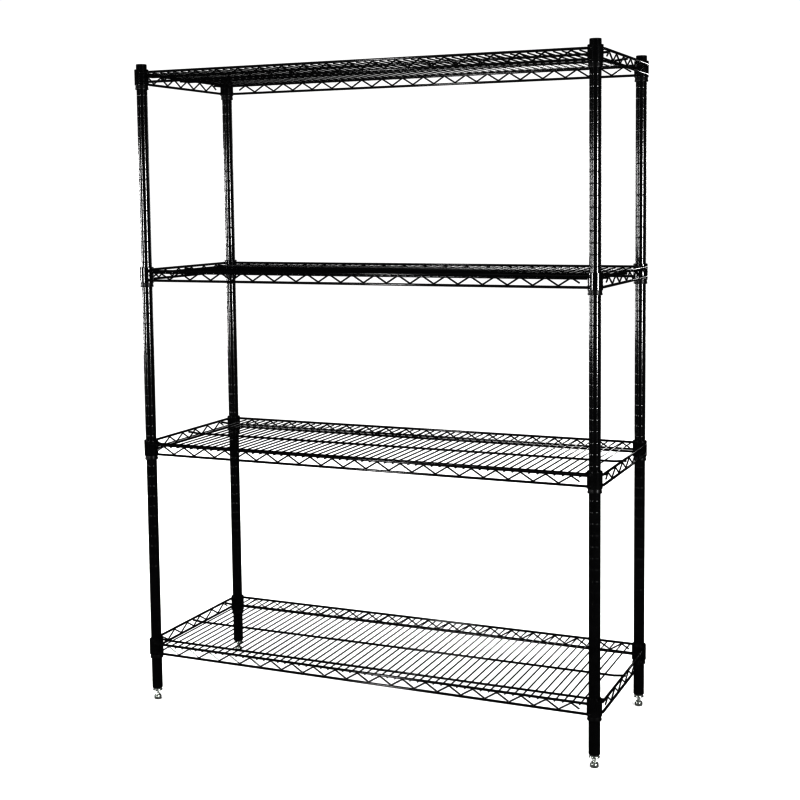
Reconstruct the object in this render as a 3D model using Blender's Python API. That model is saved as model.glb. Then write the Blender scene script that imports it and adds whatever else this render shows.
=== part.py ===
"""Free-standing wire shelving rack: four grooved-post columns carrying four welded wire shelves.

Each shelf is one welded wire frame whose four collars drop onto tapered sleeves. Two half sleeves
grip a post at each collar. Every post has a push-in cap on top, and a threaded insert with a
levelling foot at the bottom.

Frame: metres, +Z up, the floor at Z = 0, the origin at the middle of the footprint, +X to the
right along the long side, and the front at -Y.
"""

import math

import bmesh
import bpy

# Footprint, between post centres
POST_SPAN_X = 1.140
POST_SPAN_Y = 0.406

# Heights of the shelves' top rim wires: whole inches apart, because the posts are grooved each inch
INCH = 0.0254
BOTTOM_RIM_Z = 0.148
SHELF_STEPS = (0, 20, 37, 56)

# Posts
SIDES = 12
POST_R = 0.0127
POST_WALL = 0.0012
POST_BOTTOM_Z = 0.030
POST_ABOVE_TOP_RIM = 0.018

# Gap that touching pieces keep
FIT = 0.0003

# Cap
CAP_HEAD = 0.003
CAP_EDGE = 0.0008
CAP_SKIRT = 0.012

# Insert and levelling foot
INSERT_HEAD = 0.009
INSERT_R = 0.0124
INSERT_SHANK = 0.026
PLUG_R = POST_R - POST_WALL - 0.0004
STEM_R = 0.0044
STEM_TOP_Z = 0.052
FOOT_R = 0.0095
FOOT_HEIGHT = 0.012
FOOT_EDGE = 0.0015

# Collar and sleeve, measured from the top rim wire
COLLAR_R = 0.017
COLLAR_TOP = 0.008
COLLAR_BOTTOM = -0.030
COLLAR_TOP_BORE_R = 0.0146
COLLAR_BOTTOM_BORE_R = 0.0154
SLEEVE_BORE_R = POST_R + FIT
SLEEVE_TOP = 0.005
SLEEVE_BOTTOM = -0.040
SLEEVE_TOP_R = 0.0142
SLEEVE_BOTTOM_R = 0.0153
SLEEVE_SLIT = 0.0004

# Shelf wires
RIM_WIRE = 0.0056
RIM_DROP = 0.0235
RIM_BITE = 0.0028
RIM_END_SHORT_OF_POST = 0.0065
DECK_WIRE = 0.003
DECK_WIRES_EACH_SIDE = 28
DECK_TOP_BELOW_RIM_TOP = 0.0025
RUNNER_WIRE = 0.005
RUNNER_INSET = 0.053
LUG = (0.0042, 0.0065, 0.0070)
LUG_BITE = 0.0015
TRUSS_WIRE = 0.0034
LONG_TRUSS_PITCH = 0.058
LONG_TRUSS_PEAKS = 19
SHORT_TRUSS_PITCH = 0.062
SHORT_TRUSS_PEAKS = 6
TRUSS_END_SHARE = 0.65
TRUSS_WELD_BITE = 0.001

# Worked out from the sizes above
DECK_PITCH = LONG_TRUSS_PITCH / 3
RIM_OFFSET = COLLAR_R + RIM_WIRE / 2 - RIM_BITE
RIM_X = POST_SPAN_X / 2 + RIM_OFFSET
RIM_Y = POST_SPAN_Y / 2 + RIM_OFFSET
RIM_Z = tuple(BOTTOM_RIM_Z + step * INCH for step in SHELF_STEPS)
POST_TOP_Z = RIM_Z[-1] + POST_ABOVE_TOP_RIM
DECK_Z = RIM_WIRE / 2 - DECK_TOP_BELOW_RIM_TOP - DECK_WIRE / 2
RUNNER_Z = DECK_Z - DECK_WIRE / 2 - FIT - RUNNER_WIRE / 2
RUNNER_YS = (-RIM_Y + RUNNER_INSET, 0, RIM_Y - RUNNER_INSET)

CORNERS = {
    "front_left": (-1, -1),
    "front_right": (1, -1),
    "back_left": (-1, 1),
    "back_right": (1, 1),
}


def clear_scene():
    for obj in list(bpy.data.objects):
        bpy.data.objects.remove(obj)


def make_material(name, colour, metallic, roughness):
    material = bpy.data.materials.new(name)
    material.use_nodes = True
    shader = material.node_tree.nodes["Principled BSDF"]
    shader.inputs["Base Color"].default_value = (*colour, 1.0)
    shader.inputs["Metallic"].default_value = metallic
    shader.inputs["Roughness"].default_value = roughness
    return material


def finished_mesh(bm, name):
    """The bmesh as a mesh: welded, facing outwards, smooth on its round sides."""
    bmesh.ops.remove_doubles(bm, verts=bm.verts, dist=1e-7)
    bmesh.ops.recalc_face_normals(bm, faces=bm.faces)
    mesh = bpy.data.meshes.new(name)
    bm.to_mesh(mesh)
    bm.free()
    mesh.shade_smooth()
    mesh.set_sharp_from_angle(angle=math.radians(40))
    return mesh


def place(name, mesh, material, location):
    """One piece, with its own material, at its place."""
    own = mesh.copy()
    own.materials.clear()
    own.materials.append(material.copy())
    obj = bpy.data.objects.new(name, own)
    obj.location = location
    bpy.context.scene.collection.objects.link(obj)
    return obj


def turned(name, profile, start=0.0, sweep=math.tau):
    """A closed (radius, height) profile turned about +Z, all the way round or through part of a turn."""
    whole = sweep == math.tau
    steps = max(3, round(SIDES * sweep / math.tau))
    bm = bmesh.new()
    rings = []
    for i in range(steps if whole else steps + 1):
        angle = start + sweep * i / steps
        ring = [bm.verts.new((r * math.cos(angle), r * math.sin(angle), z)) for r, z in profile]
        rings.append(ring)
    for i in range(steps):
        here, after = rings[i], rings[(i + 1) % len(rings)]
        for j in range(len(profile)):
            k = (j + 1) % len(profile)
            if profile[j][0] or profile[k][0]:
                bm.faces.new((here[j], after[j], after[k], here[k]))
    if not whole:
        bm.faces.new(rings[0])
        bm.faces.new(rings[-1])
    return finished_mesh(bm, name)


def add_bar(bm, centre, size):
    """A straight square bar, added to the bmesh as a box."""
    made = bmesh.ops.create_cube(bm, size=1.0)["verts"]
    bmesh.ops.scale(bm, verts=made, vec=size)
    bmesh.ops.translate(bm, verts=made, vec=centre)


def add_ring(bm, centre, profile):
    """A turned ring, added to the bmesh at centre."""
    mesh = turned("ring", profile)
    before = set(bm.verts)
    bm.from_mesh(mesh)
    bpy.data.meshes.remove(mesh)
    bmesh.ops.translate(bm, verts=[v for v in bm.verts if v not in before], vec=centre)


def truss_points(peaks, pitch):
    """(along, height) of a zigzag wire's bends below the top rim wire, from one cut end to the other.

    Its outer peaks are welded up into the rim. The others stop a fit gap short of both rim wires.
    """
    reach = TRUSS_WIRE / 2 * math.hypot(1, 2 * RIM_DROP / pitch)
    high = -RIM_WIRE / 2 - FIT - reach
    low = RIM_WIRE / 2 + FIT + reach - RIM_DROP
    weld = -RIM_WIRE / 2 + TRUSS_WELD_BITE - reach
    first = -(peaks - 1) / 2 * pitch
    points = []
    for i in range(2 * peaks - 1):
        height = low if i % 2 else high
        if i in (0, 2 * peaks - 2):
            height = weld
        points.append((first + i * pitch / 2, height))
    cut = TRUSS_END_SHARE * pitch / 2
    cut_height = weld + TRUSS_END_SHARE * (low - weld)
    return [(first - cut, cut_height), *points, (-first + cut, cut_height)]


def add_truss(bm, peaks, pitch, along_x, offset):
    """A flat zigzag wire of square section in the plane of a side's two rim wires."""
    reach = TRUSS_WIRE / 2 * math.hypot(1, 2 * RIM_DROP / pitch)
    half = TRUSS_WIRE / 2
    rings = []
    for along, height in truss_points(peaks, pitch):
        ring = []
        for across, up in ((-half, -reach), (half, -reach), (half, reach), (-half, reach)):
            x, y = (along, offset + across) if along_x else (offset + across, along)
            ring.append(bm.verts.new((x, y, height + up)))
        rings.append(ring)
    for here, after in zip(rings, rings[1:]):
        for j in range(4):
            k = (j + 1) % 4
            bm.faces.new((here[j], here[k], after[k], after[j]))
    bm.faces.new(rings[0])
    bm.faces.new(rings[-1])


def long_wires():
    """The four rim wires along the front and back, each ending where it meets the collars."""
    bm = bmesh.new()
    length = POST_SPAN_X - 2 * RIM_END_SHORT_OF_POST
    for side in (-1, 1):
        for drop in (0, RIM_DROP):
            add_bar(bm, (0, side * RIM_Y, -drop), (length, RIM_WIRE, RIM_WIRE))
    return finished_mesh(bm, "long_wires")


def short_wires():
    """The four rim wires along the two ends, each ending where it meets the collars."""
    bm = bmesh.new()
    length = POST_SPAN_Y - 2 * RIM_END_SHORT_OF_POST
    for side in (-1, 1):
        for drop in (0, RIM_DROP):
            add_bar(bm, (side * RIM_X, 0, -drop), (RIM_WIRE, length, RIM_WIRE))
    return finished_mesh(bm, "short_wires")


def deck_wires():
    """The wires from front to back, each ending inside the front and back top rim wires."""
    bm = bmesh.new()
    for i in range(-DECK_WIRES_EACH_SIDE, DECK_WIRES_EACH_SIDE + 1):
        add_bar(bm, (i * DECK_PITCH, 0, DECK_Z), (DECK_WIRE, 2 * RIM_Y, DECK_WIRE))
    return finished_mesh(bm, "deck_wires")


def runner_wires():
    """The three wires under the deck, from end to end, each ending inside its lugs."""
    bm = bmesh.new()
    for y in RUNNER_YS:
        add_bar(bm, (0, y, RUNNER_Z), (2 * RIM_X, RUNNER_WIRE, RUNNER_WIRE))
    return finished_mesh(bm, "runner_wires")


def runner_lugs():
    """The weld blocks that hang each runner wire's ends under the end rim wires."""
    bm = bmesh.new()
    for side in (-1, 1):
        for y in RUNNER_YS:
            add_bar(bm, (side * RIM_X, y, LUG_BITE - RIM_WIRE / 2 - LUG[2] / 2), LUG)
    return finished_mesh(bm, "runner_lugs")


def truss_wires():
    bm = bmesh.new()
    for side in (-1, 1):
        add_truss(bm, LONG_TRUSS_PEAKS, LONG_TRUSS_PITCH, True, side * RIM_Y)
        add_truss(bm, SHORT_TRUSS_PEAKS, SHORT_TRUSS_PITCH, False, side * RIM_X)
    return finished_mesh(bm, "truss_wires")


def collars():
    profile = (
        (COLLAR_BOTTOM_BORE_R, COLLAR_BOTTOM),
        (COLLAR_R, COLLAR_BOTTOM),
        (COLLAR_R, COLLAR_TOP),
        (COLLAR_TOP_BORE_R, COLLAR_TOP),
    )
    bm = bmesh.new()
    for x_side, y_side in CORNERS.values():
        add_ring(bm, (x_side * POST_SPAN_X / 2, y_side * POST_SPAN_Y / 2, 0), profile)
    return finished_mesh(bm, "collars")


def welded(name, meshes):
    """The union of the meshes as one mesh. Each mesh holds shapes that don't touch one another."""
    helpers = []
    for mesh in meshes:
        helper = bpy.data.objects.new(mesh.name, mesh)
        helper.hide_render = True
        helper.display_type = "WIRE"
        bpy.context.scene.collection.objects.link(helper)
        helpers.append(helper)
    for other in helpers[1:]:
        union = helpers[0].modifiers.new(other.name, "BOOLEAN")
        union.operation = "UNION"
        union.solver = "EXACT"
        union.object = other
    graph = bpy.context.evaluated_depsgraph_get()
    graph.update()
    result = bpy.data.meshes.new_from_object(helpers[0].evaluated_get(graph))
    result.name = name
    for helper in helpers:
        bpy.data.objects.remove(helper)
    result.shade_flat()
    return result


def make_shelves(material):
    mesh = welded(
        "shelf",
        [
            long_wires(),
            deck_wires(),
            short_wires(),
            runner_lugs(),
            runner_wires(),
            truss_wires(),
            collars(),
        ],
    )
    for number, height in enumerate(RIM_Z, start=1):
        place(f"shelf_{number}", mesh, material, (0, 0, height))


def make_posts(material):
    length = POST_TOP_Z - POST_BOTTOM_Z
    bore = POST_R - POST_WALL
    mesh = turned("post", ((bore, 0), (POST_R, 0), (POST_R, length), (bore, length)))
    for corner, (x, y) in corner_places():
        place(f"post_{corner}", mesh, material, (x, y, POST_BOTTOM_Z))


def make_caps(material):
    profile = (
        (0, -CAP_SKIRT),
        (PLUG_R, -CAP_SKIRT),
        (PLUG_R, FIT),
        (POST_R, FIT),
        (POST_R, CAP_HEAD - CAP_EDGE),
        (POST_R - CAP_EDGE, CAP_HEAD),
        (0, CAP_HEAD),
    )
    mesh = turned("post_cap", profile)
    for corner, (x, y) in corner_places():
        place(f"post_cap_{corner}", mesh, material, (x, y, POST_TOP_Z))


def make_inserts(material):
    bore = STEM_R + FIT
    profile = (
        (bore, -INSERT_HEAD),
        (INSERT_R, -INSERT_HEAD),
        (INSERT_R, -FIT),
        (PLUG_R, -FIT),
        (PLUG_R, INSERT_SHANK),
        (bore, INSERT_SHANK),
    )
    mesh = turned("foot_insert", profile)
    for corner, (x, y) in corner_places():
        place(f"foot_insert_{corner}", mesh, material, (x, y, POST_BOTTOM_Z))


def make_feet(material):
    profile = (
        (0, 0),
        (FOOT_R - FOOT_EDGE, 0),
        (FOOT_R, FOOT_EDGE),
        (FOOT_R, FOOT_HEIGHT - FOOT_EDGE),
        (FOOT_R - FOOT_EDGE, FOOT_HEIGHT),
        (STEM_R, FOOT_HEIGHT),
        (STEM_R, STEM_TOP_Z),
        (0, STEM_TOP_Z),
    )
    mesh = turned("levelling_foot", profile)
    for corner, (x, y) in corner_places():
        place(f"levelling_foot_{corner}", mesh, material, (x, y, 0))


def make_sleeves(material):
    """Two half sleeves round the post in each collar, split front from back."""
    profile = (
        (SLEEVE_BORE_R, SLEEVE_BOTTOM),
        (SLEEVE_BOTTOM_R, SLEEVE_BOTTOM),
        (SLEEVE_TOP_R, SLEEVE_TOP),
        (SLEEVE_BORE_R, SLEEVE_TOP),
    )
    gap = SLEEVE_SLIT / SLEEVE_BORE_R
    halves = {
        "back": turned("sleeve_back", profile, gap / 2, math.pi - gap),
        "front": turned("sleeve_front", profile, math.pi + gap / 2, math.pi - gap),
    }
    for number, height in enumerate(RIM_Z, start=1):
        for corner, (x, y) in corner_places():
            for half, mesh in halves.items():
                place(f"sleeve_{number}_{corner}_{half}_half", mesh, material, (x, y, height))


def corner_places():
    """Each corner's name and post centre."""
    for corner, (x_side, y_side) in CORNERS.items():
        yield corner, (x_side * POST_SPAN_X / 2, y_side * POST_SPAN_Y / 2)


def main():
    clear_scene()
    epoxy = make_material("black_epoxy", (0.012, 0.012, 0.013), 0.0, 0.28)
    plastic = make_material("black_plastic", (0.015, 0.015, 0.016), 0.0, 0.45)
    zinc = make_material("zinc_plated_steel", (0.62, 0.62, 0.63), 1.0, 0.35)
    make_posts(epoxy)
    make_caps(plastic)
    make_inserts(zinc)
    make_feet(zinc)
    make_sleeves(plastic)
    make_shelves(epoxy)


main()
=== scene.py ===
"""Looks of the wire shelving rack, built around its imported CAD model.

Every CAD node is stood for by a finer piece in the same place: grooved posts, moulded caps, shelves
of round welded wire, pressed collars, moulded half sleeves, and zinc plated inserts and feet.
Lengths are in metres, and places come from the CAD nodes' boxes.
"""

import math

import bmesh
import bpy
from mathutils import Matrix, Vector


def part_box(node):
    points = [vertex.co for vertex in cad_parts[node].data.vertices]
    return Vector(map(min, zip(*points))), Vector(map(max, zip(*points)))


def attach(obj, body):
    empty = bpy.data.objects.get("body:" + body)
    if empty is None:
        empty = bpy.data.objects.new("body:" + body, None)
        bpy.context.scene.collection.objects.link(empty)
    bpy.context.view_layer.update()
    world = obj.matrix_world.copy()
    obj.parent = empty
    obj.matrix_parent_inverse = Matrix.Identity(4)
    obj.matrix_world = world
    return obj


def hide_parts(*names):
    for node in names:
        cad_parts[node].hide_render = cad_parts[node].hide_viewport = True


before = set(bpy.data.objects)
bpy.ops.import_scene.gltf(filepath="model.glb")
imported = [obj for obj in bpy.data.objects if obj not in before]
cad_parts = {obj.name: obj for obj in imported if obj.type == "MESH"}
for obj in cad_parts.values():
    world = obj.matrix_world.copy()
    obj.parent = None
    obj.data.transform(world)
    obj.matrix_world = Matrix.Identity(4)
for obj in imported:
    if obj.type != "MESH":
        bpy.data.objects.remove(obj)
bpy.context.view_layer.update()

CORNERS = ("front_left", "front_right", "back_left", "back_right")
SHELVES = (1, 2, 3, 4)
HALVES = ("back", "front")
INCH = 0.0254

# A flat row this far past a rounded edge keeps the smooth shading of the long wall beyond it flat
SHADING_GUARD = 0.0006

# Collars and rim wires, measured from the top rim wire's axis
COLLAR_TOP = 0.008
COLLAR_BOTTOM = -0.030
COLLAR_R = 0.0169
COLLAR_LIP = 0.0005
COLLAR_SIDES = 56
COLLAR_BORE_TOP_R = 0.0147
COLLAR_BORE_BOTTOM_R = 0.0155
RIM_R = 0.0028
RIM_DROP = 0.0235
RIM_END_SHORT_OF_POST = 0.0062
RIM_SIDES = 16

# Deck, runners and trusses
DECK_R = 0.0015
DECK_SPACING = 0.058 / 3
DECK_EACH_SIDE = 28
DECK_REACH = 0.8  # how far past the rim wire's axis, as a share of its radius
RUNNER_R = 0.0025
RUNNER_SIDES = 12
RUNNER_INSET = 0.053
RUNNER_RISE = 0.0024
RUNNER_RAISED_END = 0.008
RUNNER_BEND_R = 0.006
RUNNER_FLAT_SHARE = 0.955
RUNNER_REACH = 0.6  # as for DECK_REACH
TRUSS_R = 0.0017
TRUSS_BEND_R = 0.0038
TRUSS_BEND_REACH = 0.35  # how far a corner lies past its bend, as a share of the bend's radius
LONG_TRUSS = (19, 0.058)  # peaks, and the distance between them
SHORT_TRUSS = (6, 0.062)
TRUSS_END_SHARE = 0.65

# Welds: how deep one wire sits in another, and the beads' radii
WELD_SINK = 0.0004
BEAD_SIDES = 10
BEAD_ROWS = 6
DECK_BEAD = (0.0021, 0.0019, 0.0012)
TRUSS_BEAD = (0.0026, 0.0018, 0.0011)  # along the rim, across it and upwards
TRUSS_BEAD_GAP = 0.0001
COLLAR_BEAD = (0.0042, 0.0022, 0.0034)  # as for TRUSS_BEAD
COLLAR_BEAD_REACH = 0.5  # how far from the post's axis, as a share of the collar's radius
COLLAR_BEAD_INSET = 0.6  # how far in from the rim wire's axis, as a share of its radius

# Posts
POST_WALL = 0.0012
GROOVE_HALF = 0.0011
GROOVE_DEPTH = 0.0002
GROOVE_PHASE = -0.0045  # from the bottom shelf's top rim wire to a groove
PLAIN_POST_TOP = 0.002  # plain wall above the top groove, at least
GROOVE_SHAPE = (  # shares of the half width and of the depth
    (-2.4, 0), (-1.4, 0), (-1, 0.06), (-0.55, 0.7), (0, 1),
    (0.55, 0.7), (1, 0.06), (1.4, 0), (2.4, 0),
)
POST_SIDES = 48
POST_EDGE = 0.0006

# Caps, measured from the post's end
CAP_SKIRT_INSET = 0.0018
CAP_UNDERSIDE = 0.0004
CAP_CHAMFER = 0.0003
CAP_SIDE_TOP = 0.0012
CAP_EDGE_R = 0.0010
CAP_CROWN = 0.0002

# Sleeves, measured from the top rim wire's axis
SLEEVE_BORE_R = 0.01305
SLEEVE_LIP_R = 0.0160
SLEEVE_LIP_HEIGHT = 0.0026
SLEEVE_LIP_STEP = 0.0007
SLEEVE_EDGE_R = 0.0006
SLEEVE_WAIST_R = 0.0148
SLEEVE_SHOULDER_R = 0.0143
SLEEVE_TOP_R = 0.0139
SLEEVE_RIDGE_Z = -0.0183
SLEEVE_RIDGE_DEPTH = 0.0004
SLEEVE_SLIT = 0.0005
SLEEVE_SIDES = 26

# Inserts
INSERT_BORE_R = 0.0048
INSERT_BORE_CHAMFER = 0.0006
INSERT_FACE_R = 0.0070
INSERT_EDGE_R = 0.0008
INSERT_NECK_R = 0.0108
INSERT_FLANGE_R = 0.0112
INSERT_SHANK_R = 0.0110

# Feet
HEX_FLAT = 0.0087
HEX_CORNER = 0.0095
PAD_ROWS = (  # greatest radius, and height
    (0.0, 0.0),
    (0.0074, 0.0),
    (0.0082, 0.0002),
    (0.0091, 0.0012),
    (HEX_CORNER, 0.0026),
    (HEX_CORNER, 0.0070),
    (0.0090, 0.0088),
    (0.0080, 0.0103),
    (0.0066, 0.0115),
    (0.0050, 0.0120),
)
THREAD_R = 0.0044
THREAD_PITCH = 0.0015
THREAD_DEPTH = 0.0005
THREAD_ROWS = 6
FOOT_SIDES = 48

# Camera, with its angles in degrees
CAMERA_AZIMUTH = 23.55
CAMERA_ELEVATION = 4.98
CAMERA_ROLL = -0.61
CAMERA_PLACE = (1.373, -3.096, 1.257)
CAMERA_LENS_MM = 62.4
CAMERA_SENSOR_MM = 36
CAMERA_SHIFT_Y = -0.1

# Light. The backdrop glows white, but gloss sees a dim studio in its place.
BACKDROP_GLOW = 1.06
STUDIO_GLOW = 0.02
CONTRAST = 1.8
FLOOR_HALF_SIZE = 60
SOFTBOX_HEIGHT = 1.05
SOFTBOX_Z = 1.0
SOFTBOX_DISTANCE = 4.2
SOFTBOXES = (  # name, bearing in degrees from +X, width and watts for each square metre
    ("left_softbox", -156, 0.55, 170),
    ("front_softbox", -109, 0.45, 240),
    ("right_softbox", -27, 0.75, 240),
    ("back_softbox", 88, 0.4, 30),
    ("back_left_softbox", 150, 0.6, 80),
)
TOP_SOFTBOX = ((0.2, 0.4, 4.2), (0, 0, 0), (3.0, 2.4), 30)  # place, target, size and watts
BACK_STRIP = ((0.6, 4.2, 1.62), (0.6, 0, 1.62), (0.6, 0.45), 6.5)


# ---------------------------------------------------------------- mesh helpers


def finished(bm, name, sharp_degrees=35):
    bmesh.ops.remove_doubles(bm, verts=bm.verts, dist=1e-7)
    bmesh.ops.recalc_face_normals(bm, faces=bm.faces)
    mesh = bpy.data.meshes.new(name)
    bm.to_mesh(mesh)
    bm.free()
    mesh.shade_smooth()
    mesh.set_sharp_from_angle(angle=math.radians(sharp_degrees))
    return mesh


def add_skin(bm, rings):
    """Quads between neighbouring rings of points."""
    made = [[bm.verts.new(point) for point in ring] for ring in rings]
    count = len(made[0])
    for here, after in zip(made, made[1:]):
        for j in range(count):
            k = (j + 1) % count
            bm.faces.new((here[j], here[k], after[k], after[j]))
    return made


def add_wire(bm, points, radius, across, sides=10):
    """A round wire through points that lie in one plane. across is the unit normal of that plane.

    Each cut end is rounded over, as the coating leaves it.
    """
    points = [Vector(p) for p in points]
    across = Vector(across)
    steps = [(b - a).normalized() for a, b in zip(points, points[1:])]
    tangents = [steps[0], *[(a + b).normalized() for a, b in zip(steps, steps[1:])], steps[-1]]
    stations = []
    for share, inset in ((0.55, 0.0), (0.88, 0.25)):
        stations.append((points[0] + tangents[0] * radius * inset, tangents[0], radius * share))
    stations.append((points[0] + tangents[0] * radius * 0.6, tangents[0], radius))
    for i in range(1, len(points) - 1):
        stations.append((points[i], tangents[i], radius))
    stations.append((points[-1] - tangents[-1] * radius * 0.6, tangents[-1], radius))
    for share, inset in ((0.88, 0.25), (0.55, 0.0)):
        stations.append((points[-1] - tangents[-1] * radius * inset, tangents[-1], radius * share))
    rings = []
    for centre, tangent, r in stations:
        up = across.cross(tangent)
        ring = []
        for j in range(sides):
            angle = math.tau * j / sides
            ring.append(centre + (across * math.cos(angle) + up * math.sin(angle)) * r)
        rings.append(ring)
    made = add_skin(bm, rings)
    bm.faces.new(made[0])
    bm.faces.new(made[-1])


def add_blob(bm, centre, radii):
    """A weld bead: a small stretched sphere."""
    rings = []
    for i in range(BEAD_ROWS + 1):
        tilt = math.pi * i / BEAD_ROWS
        ring = []
        for j in range(BEAD_SIDES):
            turn = math.tau * j / BEAD_SIDES
            ring.append((
                centre[0] + radii[0] * math.sin(tilt) * math.sin(turn),
                centre[1] + radii[1] * math.sin(tilt) * math.cos(turn),
                centre[2] + radii[2] * math.cos(tilt),
            ))
        rings.append(ring)
    add_skin(bm, rings)


def turned_bead(radii):
    """The same bead on a rim wire that runs along Y."""
    return radii[1], radii[0], radii[2]


def turned(name, profile, sides, start=0.0, sweep=math.tau, sharp_degrees=35):
    """A closed (radius, height) profile turned about +Z. A part turn has its two ends filled."""
    whole = sweep == math.tau
    bm = bmesh.new()
    count = sides if whole else sides + 1
    rings = []
    for i in range(count):
        angle = start + sweep * i / sides
        rings.append([(r * math.cos(angle), r * math.sin(angle), z) for r, z in profile])
    if whole:
        rings.append(rings[0])
    made = add_skin(bm, rings)
    if not whole:
        bm.faces.new(made[0])
        bm.faces.new(made[-1])
    return finished(bm, name, sharp_degrees)


def arc(centre, radius, first, last, steps=4):
    """Profile points round an arc, from the first angle to the last, in degrees."""
    points = []
    for i in range(steps + 1):
        angle = math.radians(first + (last - first) * i / steps)
        points.append((centre[0] + radius * math.cos(angle), centre[1] + radius * math.sin(angle)))
    return points


def rounded_bends(points, bend_r, steps=5):
    """The same route with each inner corner turned into an arc."""
    points = [Vector(p) for p in points]
    route = [points[0]]
    for before, corner, after in zip(points, points[1:], points[2:]):
        back = (before - corner).normalized()
        ahead = (after - corner).normalized()
        half = back.angle(ahead) / 2
        middle = corner + (back + ahead).normalized() * (bend_r / math.sin(half))
        start = corner + back * (bend_r / math.tan(half)) - middle
        end = corner + ahead * (bend_r / math.tan(half)) - middle
        for i in range(steps + 1):
            route.append(middle + start.normalized().slerp(end.normalized(), i / steps) * bend_r)
    route.append(points[-1])
    return route


# ---------------------------------------------------------------- materials


def new_material(name, metallic, roughness):
    material = bpy.data.materials.new(name)
    material.use_nodes = True
    shader = material.node_tree.nodes["Principled BSDF"]
    shader.inputs["Metallic"].default_value = metallic
    shader.inputs["Roughness"].default_value = roughness
    return material, shader


def noise_of(material, scale, detail, stretch=(1, 1, 1)):
    """A noise texture in the object's own metres."""
    nodes, links = material.node_tree.nodes, material.node_tree.links
    coordinates = nodes.new("ShaderNodeTexCoord")
    mapping = nodes.new("ShaderNodeMapping")
    mapping.inputs["Scale"].default_value = stretch
    noise = nodes.new("ShaderNodeTexNoise")
    noise.inputs["Scale"].default_value = scale
    noise.inputs["Detail"].default_value = detail
    links.new(coordinates.outputs["Object"], mapping.inputs["Vector"])
    links.new(mapping.outputs["Vector"], noise.inputs["Vector"])
    return noise.outputs["Fac"]


def ramp(material, source, low, high):
    """A colour ramp from low to high, driven by source and spread over a noise's usual range."""
    nodes, links = material.node_tree.nodes, material.node_tree.links
    node = nodes.new("ShaderNodeValToRGB")
    node.color_ramp.elements[0].position = 0.3
    node.color_ramp.elements[0].color = (*low, 1)
    node.color_ramp.elements[1].position = 0.7
    node.color_ramp.elements[1].color = (*high, 1)
    links.new(source, node.inputs["Fac"])
    return node.outputs["Color"]


def ranged(material, source, low, high):
    """A number from low to high, driven by source."""
    nodes, links = material.node_tree.nodes, material.node_tree.links
    node = nodes.new("ShaderNodeMapRange")
    node.inputs["To Min"].default_value = low
    node.inputs["To Max"].default_value = high
    links.new(source, node.inputs["Value"])
    return node.outputs["Result"]


def add_bump(material, shader, height, strength, distance):
    nodes, links = material.node_tree.nodes, material.node_tree.links
    bump = nodes.new("ShaderNodeBump")
    bump.inputs["Strength"].default_value = strength
    bump.inputs["Distance"].default_value = distance
    links.new(height, bump.inputs["Height"])
    links.new(bump.outputs["Normal"], shader.inputs["Normal"])


def textured(name, metallic, roughness, specular, tones, gloss, relief):
    """A material whose colour, gloss and bump each follow a noise of their own.

    Each of the last three starts with its noise's scale, detail and any stretch. Then tones has a
    dark and a pale colour, gloss a low and a high roughness, and relief a strength and a distance.
    """
    material, shader = new_material(name, metallic, roughness)
    links = material.node_tree.links
    noise, dark, pale = tones
    links.new(ramp(material, noise_of(material, *noise), dark, pale), shader.inputs["Base Color"])
    noise, low, high = gloss
    links.new(ranged(material, noise_of(material, *noise), low, high), shader.inputs["Roughness"])
    noise, strength, distance = relief
    add_bump(material, shader, noise_of(material, *noise), strength, distance)
    shader.inputs["Specular IOR Level"].default_value = specular
    return material


def epoxy_coat(name, peel_scale):
    """Glossy black epoxy powder coat, with its orange peel and a little variation in gloss."""
    return textured(
        name, metallic=0.0, roughness=0.2, specular=0.5,
        tones=((55, 3), (0.0028, 0.0028, 0.0031), (0.0060, 0.0060, 0.0065)),
        gloss=((130, 4), 0.11, 0.16),
        relief=((peel_scale, 1), 0.12, 0.000004),
    )


def moulded_plastic(name):
    """Satin black moulded plastic with a fine grain."""
    return textured(
        name, metallic=0.0, roughness=0.34, specular=0.35,
        tones=((180, 3), (0.0040, 0.0040, 0.0043), (0.0075, 0.0075, 0.0080)),
        gloss=((420, 3), 0.28, 0.42),
        relief=((2600, 2), 0.3, 0.00002),
    )


def zinc_plate(name):
    """Bright zinc plate over turned steel, with faint turning marks and passivation tints."""
    return textured(
        name, metallic=0.9, roughness=0.28, specular=0.5,
        tones=((260, 3), (0.52, 0.54, 0.52), (0.72, 0.74, 0.71)),
        gloss=((500, 4), 0.2, 0.34),
        relief=((60, 2, (1, 1, 40)), 0.3, 0.00005),
    )


MATERIALS = {
    "post_epoxy": epoxy_coat("post_epoxy_coat", 420),
    "wire_epoxy": epoxy_coat("wire_epoxy_coat", 600),
    "cap_plastic": moulded_plastic("cap_moulded_plastic"),
    "sleeve_plastic": moulded_plastic("sleeve_moulded_plastic"),
    "zinc": zinc_plate("bright_zinc_plate"),
}


def place(name, mesh, location, slot, body, node):
    """One finished piece, in its material, that rides its body and stands for its CAD node."""
    own = mesh.copy()
    own.materials.clear()
    own.materials.append(MATERIALS[slot])
    piece = bpy.data.objects.new(name, own)
    piece.location = location
    bpy.context.scene.collection.objects.link(piece)
    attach(piece, body)
    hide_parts(node)


# ---------------------------------------------------------------- places from the frame


def box_of(node):
    low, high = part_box(node)
    return Vector(low), Vector(high)


def rim_height(number):
    """The height of a shelf's top rim wires."""
    return box_of(f"shelf_{number}")[1].z - COLLAR_TOP


def post_centre(corner):
    low, high = box_of(f"post_{corner}")
    return (low.x + high.x) / 2, (low.y + high.y) / 2


POST_X, BACK_Y = post_centre("back_right")
RIM_X = box_of("shelf_1")[1].x - RIM_R
RIM_Y = box_of("shelf_1")[1].y - RIM_R
BODY_OF_SHELF = {1: "rack", 2: "lifting_shelf_2", 3: "lifting_shelf_3", 4: "lifting_shelf_4"}


# ---------------------------------------------------------------- posts and what is on them


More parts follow.
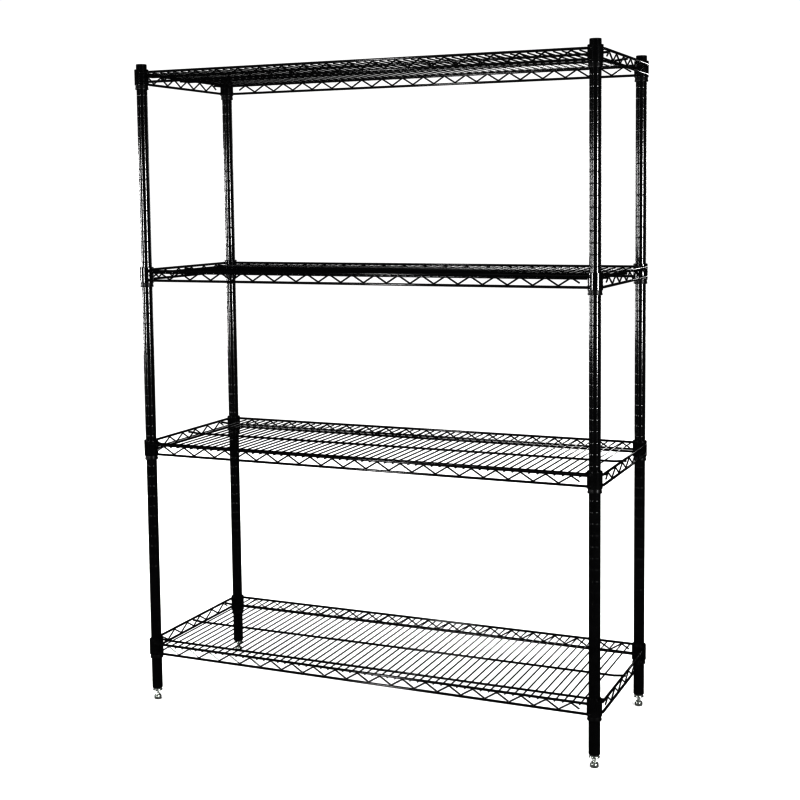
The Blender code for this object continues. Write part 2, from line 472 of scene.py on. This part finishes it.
def grooved_post_mesh():
    """A tube, open at both ends, with a shallow groove each inch."""
    low, high = box_of("post_front_left")
    length = high.z - low.z
    radius = (high.x - low.x) / 2
    bore = radius - POST_WALL
    profile = [(bore, length), (bore, 0.0)]
    profile += arc((radius - POST_EDGE, POST_EDGE), POST_EDGE, -90, 0, 3)
    centre = rim_height(1) + GROOVE_PHASE - low.z
    centre -= math.floor((centre - 2 * POST_EDGE) / INCH) * INCH  # the lowest groove
    while centre < length - GROOVE_HALF - PLAIN_POST_TOP:
        for share, depth in GROOVE_SHAPE:
            profile.append((radius - GROOVE_DEPTH * depth, centre + GROOVE_HALF * share))
        centre += INCH
    profile.append((radius, length))
    return turned("grooved_post", profile, POST_SIDES, sharp_degrees=50)


def cap_mesh():
    """A moulded cap with a skirt in the post, a rounded edge and a slightly crowned top."""
    low, high = box_of("post_cap_front_left")
    radius = (high.x - low.x) / 2
    top = high.z - box_of("post_front_left")[1].z
    skirt = low.z - box_of("post_front_left")[1].z
    profile = [
        (0, skirt),
        (radius - CAP_SKIRT_INSET, skirt),
        (radius - CAP_SKIRT_INSET, CAP_UNDERSIDE),
        (radius - CAP_CHAMFER, CAP_UNDERSIDE),
        (radius, CAP_UNDERSIDE + CAP_CHAMFER),
        (radius, CAP_SIDE_TOP),
        *arc((radius - CAP_EDGE_R, top - CAP_EDGE_R - CAP_CROWN), CAP_EDGE_R, 0, 80),
        (radius * 0.7, top - CAP_CROWN / 2),
        (radius * 0.35, top),
        (0, top),
    ]
    return turned("cap", profile, POST_SIDES)


def insert_mesh():
    """A turned insert, with its heights measured from the post's lower end."""
    low, high = box_of("foot_insert_front_left")
    base = box_of("post_front_left")[0].z
    bottom = low.z - base
    top = high.z - base
    outer = (high.x - low.x) / 2
    profile = [
        # The bore and the face round it
        (INSERT_BORE_R, top),
        (INSERT_BORE_R, bottom + INSERT_BORE_CHAMFER),
        (INSERT_BORE_R + INSERT_BORE_CHAMFER, bottom),
        (INSERT_FACE_R, bottom),
        # The head, from its cone over its rounded edge
        (outer - 0.0012, bottom + 0.0016),
        *arc((outer - INSERT_EDGE_R, bottom + 0.0024), INSERT_EDGE_R, -50, 60),
        # The neck, the flange at the post's end, and the shank inside it
        (INSERT_FLANGE_R, bottom + 0.0036),
        (INSERT_NECK_R, bottom + 0.0042),
        (INSERT_NECK_R, -0.0010),
        (INSERT_FLANGE_R, -0.0004),
        (INSERT_FLANGE_R, 0.0),
        (INSERT_SHANK_R, 0.0008),
        (INSERT_SHANK_R, top),
    ]
    return turned("insert", profile, POST_SIDES)


def foot_mesh():
    """A hexagonal pad with its corners turned round and domed over, and a threaded stem."""
    stem_top = box_of("levelling_foot_front_left")[1].z
    pad_top = PAD_ROWS[-1][1]
    bm = bmesh.new()

    def hexagon(angle):
        return HEX_FLAT / math.cos((angle % (math.pi / 3)) - math.pi / 6)

    rings = []
    for limit, z in PAD_ROWS:
        ring = []
        for j in range(FOOT_SIDES):
            angle = math.tau * j / FOOT_SIDES
            r = min(limit, hexagon(angle))
            ring.append((r * math.cos(angle), r * math.sin(angle), z))
        rings.append(ring)
    count = int((stem_top - pad_top) / THREAD_PITCH * THREAD_ROWS)
    for i in range(count + 1):
        z = pad_top + (stem_top - pad_top) * i / count
        ring = []
        for j in range(FOOT_SIDES):
            turn = j / FOOT_SIDES
            phase = (z / THREAD_PITCH - turn) % 1.0
            r = THREAD_R - THREAD_DEPTH * abs(2 * phase - 1)
            ring.append((r * math.cos(math.tau * turn), r * math.sin(math.tau * turn), z))
        rings.append(ring)
    rings.append([(0.0, 0.0, stem_top)] * FOOT_SIDES)
    add_skin(bm, rings)
    return finished(bm, "foot", 30)


def half_sleeve_mesh(half):
    """Half a moulded sleeve: tapered in the collar, waisted under it, with a lip at the bottom."""
    low, high = box_of("sleeve_1_front_left_back_half")
    rim = rim_height(1)
    bottom, top = low.z - rim, high.z - rim
    ridge_r = SLEEVE_BORE_R - SLEEVE_RIDGE_DEPTH
    profile = [
        # Outside, from the lower end to the top
        (SLEEVE_BORE_R, bottom),
        (SLEEVE_LIP_R - 0.0005, bottom),
        *arc((SLEEVE_LIP_R - SLEEVE_EDGE_R, bottom + SLEEVE_EDGE_R), SLEEVE_EDGE_R, -70, 0, 3),
        (SLEEVE_LIP_R, bottom + SLEEVE_LIP_HEIGHT),
        (SLEEVE_LIP_R - SLEEVE_LIP_STEP, bottom + SLEEVE_LIP_HEIGHT + 0.0004),
        (SLEEVE_WAIST_R + 0.0002, COLLAR_BOTTOM - 0.0010),
        (SLEEVE_WAIST_R, COLLAR_BOTTOM + 0.0010),
        (SLEEVE_SHOULDER_R, top - 0.0006),
        (SLEEVE_TOP_R, top),
        # Inside, with a ridge against the post
        (SLEEVE_BORE_R, top),
        (SLEEVE_BORE_R, SLEEVE_RIDGE_Z + 0.0011),
        (ridge_r, SLEEVE_RIDGE_Z + 0.0005),
        (ridge_r, SLEEVE_RIDGE_Z - 0.0005),
        (SLEEVE_BORE_R, SLEEVE_RIDGE_Z - 0.0011),
    ]
    gap = SLEEVE_SLIT / SLEEVE_BORE_R
    start = gap / 2 + (0 if half == "back" else math.pi)
    return turned(f"{half}_half_sleeve", profile, SLEEVE_SIDES, start, math.pi - gap)


def make_posts():
    post, cap, insert, foot = grooved_post_mesh(), cap_mesh(), insert_mesh(), foot_mesh()
    for corner in CORNERS:
        x, y = post_centre(corner)
        low, high = box_of(f"post_{corner}")
        foot_of_post, head_of_post = (x, y, low.z), (x, y, high.z)
        name = f"grooved_post_{corner}"
        place(name, post, foot_of_post, "post_epoxy", "rack", f"post_{corner}")
        name = f"moulded_cap_{corner}"
        place(name, cap, head_of_post, "cap_plastic", "rack", f"post_cap_{corner}")
        name = f"turned_insert_{corner}"
        place(name, insert, foot_of_post, "zinc", "rack", f"foot_insert_{corner}")
        body = f"screw_foot_{corner}"
        place(f"hex_foot_{corner}", foot, (x, y, 0), "zinc", body, f"levelling_foot_{corner}")


def make_sleeves():
    meshes = {half: half_sleeve_mesh(half) for half in HALVES}
    for number in SHELVES:
        for corner in CORNERS:
            x, y = post_centre(corner)
            for half in HALVES:
                name = f"sleeve_{number}_{corner}_{half}_half"
                spot = (x, y, rim_height(number))
                place(f"moulded_{name}", meshes[half], spot, "sleeve_plastic", "rack", name)


# ---------------------------------------------------------------- shelves


DECK_Z = -RIM_R - DECK_R + WELD_SINK
RUNNER_Z = DECK_Z - DECK_R - RUNNER_R + WELD_SINK
RUNNER_YS = (-RIM_Y + RUNNER_INSET, 0.0, RIM_Y - RUNNER_INSET)


def rim_mesh():
    bm = bmesh.new()
    end_x = POST_X - RIM_END_SHORT_OF_POST
    end_y = BACK_Y - RIM_END_SHORT_OF_POST
    for drop in (0, RIM_DROP):
        for side in (-1, 1):
            y = side * RIM_Y
            route = [(-end_x, y, -drop), (0, y, -drop), (end_x, y, -drop)]
            add_wire(bm, route, RIM_R, (0, 1, 0), RIM_SIDES)
            x = side * RIM_X
            route = [(x, -end_y, -drop), (x, 0, -drop), (x, end_y, -drop)]
            add_wire(bm, route, RIM_R, (1, 0, 0), RIM_SIDES)
    return finished(bm, "rims")


def deck_mesh():
    bm = bmesh.new()
    end = RIM_Y + RIM_R * DECK_REACH
    for i in range(-DECK_EACH_SIDE, DECK_EACH_SIDE + 1):
        x = i * DECK_SPACING
        add_wire(bm, [(x, -end, DECK_Z), (x, 0, DECK_Z), (x, end, DECK_Z)], DECK_R, (1, 0, 0))
    return finished(bm, "deck")


def runner_mesh():
    """Three wires under the deck. Each end rises a little, to be welded under the end rim wire."""
    bm = bmesh.new()
    end = RIM_X + RIM_R * RUNNER_REACH
    bend = end - RUNNER_RAISED_END
    flat = RIM_X * RUNNER_FLAT_SHARE
    raised = RUNNER_Z + RUNNER_RISE
    for y in RUNNER_YS:
        route = [(-end, y, raised), (-bend, y, raised), (-flat, y, RUNNER_Z)]
        route += [(flat, y, RUNNER_Z), (bend, y, raised), (end, y, raised)]
        add_wire(bm, rounded_bends(route, RUNNER_BEND_R), RUNNER_R, (0, 1, 0), RUNNER_SIDES)
    return finished(bm, "runners")


def truss_bends(peaks, pitch):
    """(along, height) of a truss wire's bends, with a straight cut end past each outer peak."""
    high = -RIM_R - TRUSS_R + WELD_SINK
    low = -RIM_DROP - high
    reach = TRUSS_BEND_R * TRUSS_BEND_REACH
    high, low = high + reach, low - reach
    first = -(peaks - 1) / 2 * pitch
    bends = [(first + i * pitch / 2, low if i % 2 else high) for i in range(2 * peaks - 1)]
    cut = TRUSS_END_SHARE * pitch / 2
    cut_z = high + TRUSS_END_SHARE * (low - high)
    return [(first - cut, cut_z), *bends, (-first + cut, cut_z)]


def truss_mesh():
    bm = bmesh.new()
    for side in (-1, 1):
        route = [(along, side * RIM_Y, z) for along, z in truss_bends(*LONG_TRUSS)]
        add_wire(bm, rounded_bends(route, TRUSS_BEND_R), TRUSS_R, (0, 1, 0))
        route = [(side * RIM_X, along, z) for along, z in truss_bends(*SHORT_TRUSS)]
        add_wire(bm, rounded_bends(route, TRUSS_BEND_R), TRUSS_R, (1, 0, 0))
    return finished(bm, "trusses")


def collar_mesh():
    """Four pressed collars, open above and below, with rounded lips."""
    lip = COLLAR_LIP
    profile = [(COLLAR_BORE_TOP_R, COLLAR_TOP - lip), (COLLAR_BORE_BOTTOM_R, COLLAR_BOTTOM + lip)]
    profile += [(COLLAR_BORE_BOTTOM_R + lip / 2, COLLAR_BOTTOM)]
    profile += arc((COLLAR_R - lip, COLLAR_BOTTOM + lip), lip, -90, 0, 3)
    profile += [(COLLAR_R, COLLAR_BOTTOM + lip + SHADING_GUARD)]
    profile += [(COLLAR_R, COLLAR_TOP - lip - SHADING_GUARD)]
    profile += arc((COLLAR_R - lip, COLLAR_TOP - lip), lip, 0, 90, 3)
    profile += [(COLLAR_BORE_TOP_R + lip / 2, COLLAR_TOP)]
    ring = turned("collar", profile, COLLAR_SIDES)
    bm = bmesh.new()
    for x in (-POST_X, POST_X):
        for y in (-BACK_Y, BACK_Y):
            before = set(bm.verts)
            bm.from_mesh(ring)
            bmesh.ops.translate(bm, verts=[v for v in bm.verts if v not in before], vec=(x, y, 0))
    return finished(bm, "collars")


def weld_mesh():
    """Beads where wires cross, and along the rims where they meet the collars."""
    bm = bmesh.new()
    for i in range(-DECK_EACH_SIDE, DECK_EACH_SIDE + 1):
        x = i * DECK_SPACING
        for y in RUNNER_YS:
            add_blob(bm, (x, y, DECK_Z - DECK_R + WELD_SINK / 2), DECK_BEAD)
        for y in (-RIM_Y, RIM_Y):
            add_blob(bm, (x, y, -RIM_R + WELD_SINK / 2), DECK_BEAD)
    inset = RIM_R * COLLAR_BEAD_INSET
    reach = COLLAR_R * COLLAR_BEAD_REACH
    for drop in (0, RIM_DROP):
        for x in (-1, 1):
            for y in (-1, 1):
                spot = (x * (POST_X - reach), y * (RIM_Y - inset), -drop)
                add_blob(bm, spot, COLLAR_BEAD)
                spot = (x * (RIM_X - inset), y * (BACK_Y - reach), -drop)
                add_blob(bm, spot, turned_bead(COLLAR_BEAD))
    gap = RIM_R + TRUSS_BEAD_GAP
    for truss in (LONG_TRUSS, SHORT_TRUSS):
        for along, z in truss_bends(*truss)[1:-1]:
            height = -gap if z > -RIM_DROP / 2 else -RIM_DROP + gap
            for side in (-1, 1):
                if truss is LONG_TRUSS:
                    add_blob(bm, (along, side * RIM_Y, height), TRUSS_BEAD)
                else:
                    add_blob(bm, (side * RIM_X, along, height), turned_bead(TRUSS_BEAD))
    return finished(bm, "welds", 60)


def make_shelves():
    meshes = {
        "rims": rim_mesh(),
        "deck_wires": deck_mesh(),
        "runners": runner_mesh(),
        "trusses": truss_mesh(),
        "collars": collar_mesh(),
        "welds": weld_mesh(),
    }
    for number in SHELVES:
        for part, mesh in meshes.items():
            name = f"shelf_{number}_{part}"
            spot = (0, 0, rim_height(number))
            place(name, mesh, spot, "wire_epoxy", BODY_OF_SHELF[number], f"shelf_{number}")


# ---------------------------------------------------------------- camera, floor and light


def make_camera():
    azimuth = math.radians(CAMERA_AZIMUTH)
    elevation = math.radians(CAMERA_ELEVATION)
    roll = math.radians(CAMERA_ROLL)
    ahead = Vector((
        -math.sin(azimuth) * math.cos(elevation),
        math.cos(azimuth) * math.cos(elevation),
        -math.sin(elevation),
    ))
    level = ahead.cross(Vector((0, 0, 1))).normalized()
    above = level.cross(ahead)
    right = level * math.cos(roll) + above * math.sin(roll)
    up = above * math.cos(roll) - level * math.sin(roll)
    camera = bpy.data.objects.new("camera", bpy.data.cameras.new("camera"))
    camera.matrix_world = Matrix((
        (right.x, up.x, -ahead.x, CAMERA_PLACE[0]),
        (right.y, up.y, -ahead.y, CAMERA_PLACE[1]),
        (right.z, up.z, -ahead.z, CAMERA_PLACE[2]),
        (0, 0, 0, 1),
    ))
    camera.data.sensor_width = CAMERA_SENSOR_MM
    camera.data.lens = CAMERA_LENS_MM
    camera.data.shift_y = CAMERA_SHIFT_Y
    bpy.context.scene.collection.objects.link(camera)
    bpy.context.scene.camera = camera


def make_floor():
    bm = bmesh.new()
    bmesh.ops.create_grid(bm, x_segments=1, y_segments=1, size=FLOOR_HALF_SIZE)
    floor = bpy.data.objects.new("floor", finished(bm, "floor"))
    material, shader = new_material("pale_floor", 0.0, 0.7)
    mottle = noise_of(material, 2, 3)
    pale = ramp(material, mottle, (0.97, 0.97, 0.97), (0.99, 0.99, 0.99))
    material.node_tree.links.new(pale, shader.inputs["Base Color"])
    shader.inputs["Specular IOR Level"].default_value = 0.0
    floor.data.materials.append(material)
    bpy.context.scene.collection.objects.link(floor)
    floor.visible_glossy = False


def add_softbox(name, location, target, size, power):
    light = bpy.data.lights.new(name, "AREA")
    light.shape = "RECTANGLE"
    light.size, light.size_y = size
    light.energy = power
    obj = bpy.data.objects.new(name, light)
    obj.location = location
    aim = Vector(target) - Vector(location)
    obj.rotation_euler = aim.to_track_quat("-Z", "Y").to_euler()
    obj.visible_camera = False
    bpy.context.scene.collection.objects.link(obj)


def make_light():
    """A white backdrop over a dim studio, so that gloss shows the softboxes as clean streaks."""
    world = bpy.data.worlds.new("studio")
    world.use_nodes = True
    nodes, links = world.node_tree.nodes, world.node_tree.links
    sight = nodes.new("ShaderNodeLightPath")
    strength = nodes.new("ShaderNodeMapRange")
    strength.inputs["To Min"].default_value = BACKDROP_GLOW
    strength.inputs["To Max"].default_value = STUDIO_GLOW
    links.new(sight.outputs["Is Glossy Ray"], strength.inputs["Value"])
    links.new(strength.outputs["Result"], nodes["Background"].inputs["Strength"])
    nodes["Background"].inputs["Color"].default_value = (1, 1, 1, 1)
    world.cycles.sampling_method = "NONE"
    bpy.context.scene.world = world
    bpy.context.scene.view_settings.view_transform = "Standard"
    bpy.context.scene.view_settings.gamma = 1 / CONTRAST
    for name, bearing, width, brightness in SOFTBOXES:
        angle = math.radians(bearing)
        spot = (SOFTBOX_DISTANCE * math.cos(angle), SOFTBOX_DISTANCE * math.sin(angle), SOFTBOX_Z)
        size = (width, SOFTBOX_HEIGHT)
        add_softbox(name, spot, (0, 0, SOFTBOX_Z), size, brightness * width * SOFTBOX_HEIGHT)
    add_softbox("top_softbox", *TOP_SOFTBOX)
    add_softbox("back_strip", *BACK_STRIP)


make_posts()
make_sleeves()
make_shelves()
make_camera()
make_floor()
make_light()
